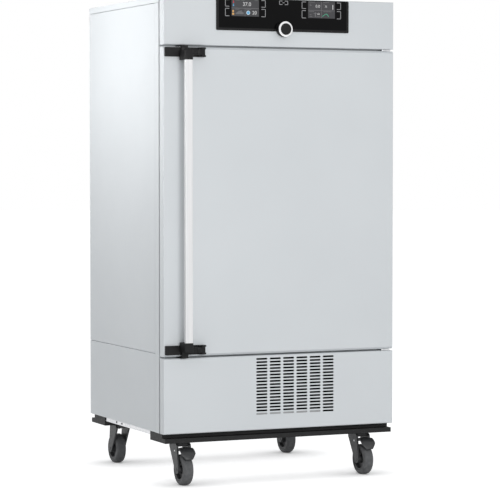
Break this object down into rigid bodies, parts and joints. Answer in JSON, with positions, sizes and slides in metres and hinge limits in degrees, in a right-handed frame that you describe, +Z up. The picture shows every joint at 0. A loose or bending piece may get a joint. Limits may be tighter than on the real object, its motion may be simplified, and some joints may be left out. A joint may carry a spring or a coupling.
{
  "type": "refrigerated incubator",
  "caption": "Floor-standing cooled laboratory incubator with a bar-handled outer door, inner glass door, wire shelves, control panel with push knob, grille and swivel castors.",
  "frame": {"origin": "on the floor under the middle of the whole outline, door handle and rear castors included", "axes": "+Z up, the door faces -Y, +X to the right as seen from the front, where the door hinges are"},
  "size_m": [0.824, 0.761, 1.574],
  "materials": {
    "painted_front": "satin powder coat",
    "painted_case": "satin powder coat",
    "black_steel": "matt black paint",
    "zinc_steel": "zinc plated",
    "black_plastic": "fine moulded texture",
    "castor_plastic": "fine moulded texture",
    "grey_rubber": "matt",
    "display_glass": "gloss",
    "bright_ring": "polished",
    "satin_bar": "satin anodised",
    "stainless": "brushed",
    "gasket_rubber": "matt",
    "foam": "rigid foam",
    "clear_glass": "clear",
    "compressor_black": "gloss black paint",
    "aluminium_fins": "plain",
    "copper_pipe": "drawn copper"
  },
  "bodies": {
    "cabinet": {"front_beam": "black_steel", "rear_beam": "black_steel", "base_tray": "zinc_steel", "castor_stems": "zinc_steel", "lower_left_panel": "painted_case", "lower_right_panel": "painted_case", "upper_left_panel": "painted_case", "upper_right_panel": "painted_case", "top_cover": "painted_case", "rear_panel": "painted_case", "front_frame": "painted_case", "lower_front_cover": "painted_front", "control_fascia": "painted_front", "display_bezel": "black_plastic", "display_glass": "display_glass", "control_box": "zinc_steel", "case_hinges": "zinc_steel", "latch_strikers": "zinc_steel", "chamber_tub": "stainless", "shelf_supports": "stainless", "air_baffle": "stainless", "fan_motor": "zinc_steel", "cabinet_insulation": "foam", "glass_hinge_pins": "stainless", "compressor": "compressor_black", "condenser_coil": "aluminium_fins", "fan_shroud": "black_steel", "refrigerant_pipes": "copper_pipe", "power_inlet": "black_plastic"},
    "outer_door": {"door_skin": "painted_front", "door_liner": "stainless", "door_insulation": "foam", "door_gasket": "gasket_rubber", "handle_brackets": "black_plastic", "door_hinge_blocks": "zinc_steel"},
    "door_handle": {"handle_arms": "black_plastic", "handle_bar": "satin_bar"},
    "inner_glass_door": {"glass_pane": "clear_glass", "glass_fittings": "stainless"},
    "upper_shelf": {"upper_shelf": "stainless"},
    "lower_shelf": {"lower_shelf": "stainless"},
    "control_knob": {"knob_ring": "bright_ring"},
    "knob_button": {"knob_cap": "black_plastic"},
    "circulation_fan": {"circulation_fan": "black_plastic"},
    "condenser_fan": {"condenser_fan": "black_plastic"},
    "mains_rocker": {"mains_switch": "black_plastic"},
    "front_left_castor": {"front_left_castor_fork": "castor_plastic"},
    "front_left_wheel": {"front_left_castor_wheel": "castor_plastic", "front_left_castor_tyre": "grey_rubber"},
    "front_left_brake": {"front_left_brake_pedal": "black_plastic"},
    "front_right_castor": {"front_right_castor_fork": "castor_plastic"},
    "front_right_wheel": {"front_right_castor_wheel": "castor_plastic", "front_right_castor_tyre": "grey_rubber"},
    "front_right_brake": {"front_right_brake_pedal": "black_plastic"},
    "rear_left_castor": {"rear_left_castor_fork": "castor_plastic"},
    "rear_left_wheel": {"rear_left_castor_wheel": "castor_plastic", "rear_left_castor_tyre": "grey_rubber"},
    "rear_right_castor": {"rear_right_castor_fork": "castor_plastic"},
    "rear_right_wheel": {"rear_right_castor_wheel": "castor_plastic", "rear_right_castor_tyre": "grey_rubber"}
  },
  "joints": [
    {"name": "outer_door_hinge", "type": "hinge", "parent": "cabinet", "child": "outer_door", "pos_m": [0.397, -0.308, 0.9165], "axis": [0, 0, 1], "range_deg": [0, 130]},
    {"name": "door_handle_turn", "type": "hinge", "parent": "outer_door", "child": "door_handle", "pos_m": [-0.284, -0.3415, 0.9165], "axis": [0, 0, 1], "range_deg": [0, 30]},
    {"name": "inner_glass_door_hinge", "type": "hinge", "parent": "cabinet", "child": "inner_glass_door", "pos_m": [0.341, -0.2715, 0.9165], "axis": [0, 0, 1], "range_deg": [0, 117.5]},
    {"name": "upper_shelf_slide", "type": "slide", "parent": "cabinet", "child": "upper_shelf", "axis": [0, -1, 0], "range_m": [0, 0.115]},
    {"name": "lower_shelf_slide", "type": "slide", "parent": "cabinet", "child": "lower_shelf", "axis": [0, -1, 0], "range_m": [0, 0.115]},
    {"name": "knob_turn", "type": "hinge", "parent": "cabinet", "child": "control_knob", "pos_m": [0.006, -0.3445, 1.475], "axis": [0, -1, 0], "continuous": true},
    {"name": "knob_press", "type": "slide", "parent": "cabinet", "child": "knob_button", "axis": [0, 1, 0], "range_m": [0, 0.0015], "stiffness_N_per_m": 600},
    {"name": "circulation_fan_spin", "type": "hinge", "parent": "cabinet", "child": "circulation_fan", "pos_m": [0, 0.2645, 0.9165], "axis": [0, -1, 0], "continuous": true},
    {"name": "condenser_fan_spin", "type": "hinge", "parent": "cabinet", "child": "condenser_fan", "pos_m": [0.0523, -0.1782, 0.276], "axis": [0, -1, 0], "continuous": true},
    {"name": "mains_rocker_tilt", "type": "hinge", "parent": "cabinet", "child": "mains_rocker", "pos_m": [-0.273, 0.3545, 1.4932], "axis": [1, 0, 0], "range_deg": [-9, 9]},
    {"name": "front_left_castor_swivel", "type": "hinge", "parent": "cabinet", "child": "front_left_castor", "pos_m": [-0.325, -0.2405, 0.1345], "axis": [0, 0, 1], "continuous": true},
    {"name": "front_left_wheel_roll", "type": "hinge", "parent": "front_left_castor", "child": "front_left_wheel", "pos_m": [-0.325, -0.2775, 0.05], "axis": [1, 0, 0], "continuous": true},
    {"name": "front_left_brake_press", "type": "hinge", "parent": "front_left_castor", "child": "front_left_brake", "pos_m": [-0.325, -0.26119, 0.11085], "axis": [1, 0, 0], "range_deg": [0, 6]},
    {"name": "front_right_castor_swivel", "type": "hinge", "parent": "cabinet", "child": "front_right_castor", "pos_m": [0.325, -0.2405, 0.1345], "axis": [0, 0, 1], "continuous": true},
    {"name": "front_right_wheel_roll", "type": "hinge", "parent": "front_right_castor", "child": "front_right_wheel", "pos_m": [0.325, -0.2775, 0.05], "axis": [1, 0, 0], "continuous": true},
    {"name": "front_right_brake_press", "type": "hinge", "parent": "front_right_castor", "child": "front_right_brake", "pos_m": [0.325, -0.26119, 0.11085], "axis": [1, 0, 0], "range_deg": [0, 6]},
    {"name": "rear_left_castor_swivel", "type": "hinge", "parent": "cabinet", "child": "rear_left_castor", "pos_m": [-0.325, 0.2935, 0.1345], "axis": [0, 0, 1], "continuous": true},
    {"name": "rear_left_wheel_roll", "type": "hinge", "parent": "rear_left_castor", "child": "rear_left_wheel", "pos_m": [-0.325, 0.3305, 0.05], "axis": [1, 0, 0], "continuous": true},
    {"name": "rear_right_castor_swivel", "type": "hinge", "parent": "cabinet", "child": "rear_right_castor", "pos_m": [0.325, 0.2935, 0.1345], "axis": [0, 0, 1], "continuous": true},
    {"name": "rear_right_wheel_roll", "type": "hinge", "parent": "rear_right_castor", "child": "rear_right_wheel", "pos_m": [0.325, 0.3305, 0.05], "axis": [1, 0, 0], "continuous": true}
  ],
  "couplings": [
    {"joint": "inner_glass_door_hinge", "follows": "outer_door_hinge", "ratio": 0.9},
    {"joint": "upper_shelf_slide", "follows": "outer_door_hinge", "m_per_rad": 0.05},
    {"joint": "lower_shelf_slide", "follows": "outer_door_hinge", "m_per_rad": 0.05}
  ]
}
